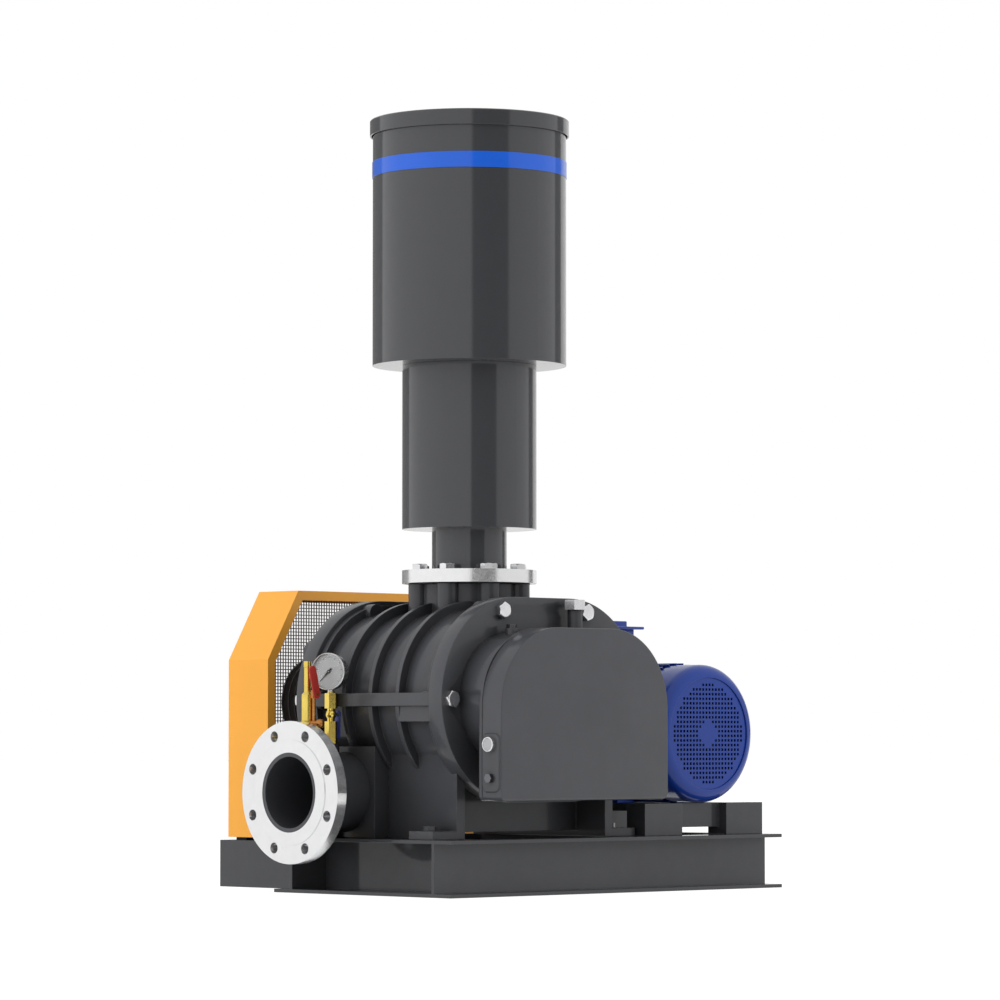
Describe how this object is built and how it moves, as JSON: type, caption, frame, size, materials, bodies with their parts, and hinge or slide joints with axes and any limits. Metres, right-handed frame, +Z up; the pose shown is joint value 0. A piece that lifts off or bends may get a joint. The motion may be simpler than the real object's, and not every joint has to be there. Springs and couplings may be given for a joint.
{
  "type": "roots blower",
  "caption": "Belt driven three-lobe roots blower on a channel frame with electric motor, inlet silencer, belt guard, relief valve, gauge and flanged discharge.",
  "frame": {"origin": "centre of the anchor bolt pattern, on the floor under the base frame", "axes": "+X along the shafts towards the timing gears, -Y towards the discharge flange, +Z up"},
  "size_m": [0.949, 1.066, 1.607],
  "materials": {
    "frame_paint": "satin dark grey paint",
    "casing_paint": "satin charcoal paint",
    "bright_steel": "zinc plated",
    "flange_steel": "turned",
    "machined_iron": "machined",
    "rubber_black": "matte",
    "glass_clear": "clear",
    "gauge_metal": "polished",
    "dial_face": "matte",
    "needle_black": "matte",
    "band_blue": "gloss",
    "perforated_steel": "plain",
    "filter_media": "pleated",
    "brass_fittings": "polished",
    "copper_fittings": "polished",
    "lever_red": "dipped",
    "lever_blue": "dipped",
    "guard_orange": "satin",
    "guard_wire": "woven wire",
    "pulley_iron": "phosphated",
    "motor_blue": "gloss",
    "copper_winding": "lacquered",
    "black_plastic": "moulded"
  },
  "bodies": {
    "stand": {"side_channels": "frame_paint", "front_cross_member": "frame_paint", "cross_members": "frame_paint", "guard_support": "frame_paint", "guard_pads": "rubber_black", "motor_mount": "frame_paint", "casing": "casing_paint", "end_plates": "casing_paint", "casing_bolts": "bright_steel", "gear_housing": "casing_paint", "gear_cover": "casing_paint", "drive_oil_cover": "casing_paint", "ball_bearings": "bright_steel", "shaft_seal": "rubber_black", "sight_glass": "gauge_metal", "oil_plugs": "bright_steel", "filler_cap": "bright_steel", "hold_down_bolts": "bright_steel", "inlet_gasket": "rubber_black", "inlet_flange": "flange_steel", "flange_bolts": "bright_steel", "silencer_pipe": "casing_paint", "silencer_lower_shell": "casing_paint", "silencer_upper_shell": "casing_paint", "silencer_band": "band_blue", "silencer_lid": "casing_paint", "lid_wing_nuts": "bright_steel", "perforated_tube": "perforated_steel", "filter_element": "filter_media", "discharge_adapter": "casing_paint", "discharge_pipe": "casing_paint", "discharge_flange": "flange_steel", "relief_valve": "brass_fittings", "vent_valve": "copper_fittings", "gauge_cock": "brass_fittings", "gauge_case": "gauge_metal", "gauge_dial": "dial_face", "gauge_lens": "glass_clear", "guard_band": "guard_orange", "guard_mesh": "guard_wire", "v_belts": "rubber_black", "motor_frame": "motor_blue", "end_shields": "motor_blue", "fan_cowl": "motor_blue", "stator": "copper_winding", "terminal_box": "motor_blue", "terminal_lid": "motor_blue", "cable_gland": "black_plastic"},
    "drive_shaft": {"drive_rotor": "machined_iron", "drive_gear": "machined_iron", "blower_pulley": "pulley_iron"},
    "driven_shaft": {"driven_rotor": "machined_iron", "driven_gear": "machined_iron"},
    "motor_rotor": {"motor_shaft": "machined_iron", "motor_pulley": "pulley_iron", "cooling_fan": "black_plastic"},
    "red_lever": {"vent_lever": "lever_red"},
    "blue_lever": {"cock_lever": "lever_blue"},
    "needle": {"gauge_needle": "needle_black"},
    "spindle": {"relief_spindle": "brass_fittings"}
  },
  "joints": [
    {"name": "drive_rotor_spin", "type": "hinge", "parent": "stand", "child": "drive_shaft", "pos_m": [0, -0.08, 0.389], "axis": [1, 0, 0], "continuous": true},
    {"name": "driven_rotor_spin", "type": "hinge", "parent": "stand", "child": "driven_shaft", "pos_m": [0, -0.28, 0.389], "axis": [1, 0, 0], "continuous": true},
    {"name": "motor_spin", "type": "hinge", "parent": "stand", "child": "motor_rotor", "pos_m": [0, 0.291, 0.322], "axis": [1, 0, 0], "continuous": true},
    {"name": "vent_lever_turn", "type": "hinge", "parent": "stand", "child": "red_lever", "pos_m": [-0.0695, -0.536, 0.4], "axis": [1, 0, 0], "range_deg": [0, 90]},
    {"name": "cock_lever_turn", "type": "hinge", "parent": "stand", "child": "blue_lever", "pos_m": [-0.097, -0.454, 0.36], "axis": [0, 1, 0], "range_deg": [0, 90]},
    {"name": "gauge_needle_swing", "type": "hinge", "parent": "stand", "child": "needle", "pos_m": [-0.097, -0.4725, 0.446], "axis": [0.3746, -0.9272, 0], "range_deg": [-270, 0]},
    {"name": "relief_spindle_lift", "type": "slide", "parent": "stand", "child": "spindle", "axis": [0, 0, 1], "range_m": [0, 0.004]}
  ],
  "couplings": [
    {"joint": "driven_rotor_spin", "follows": "drive_rotor_spin", "ratio": -1},
    {"joint": "motor_spin", "follows": "drive_rotor_spin", "ratio": 0.94792}
  ]
}
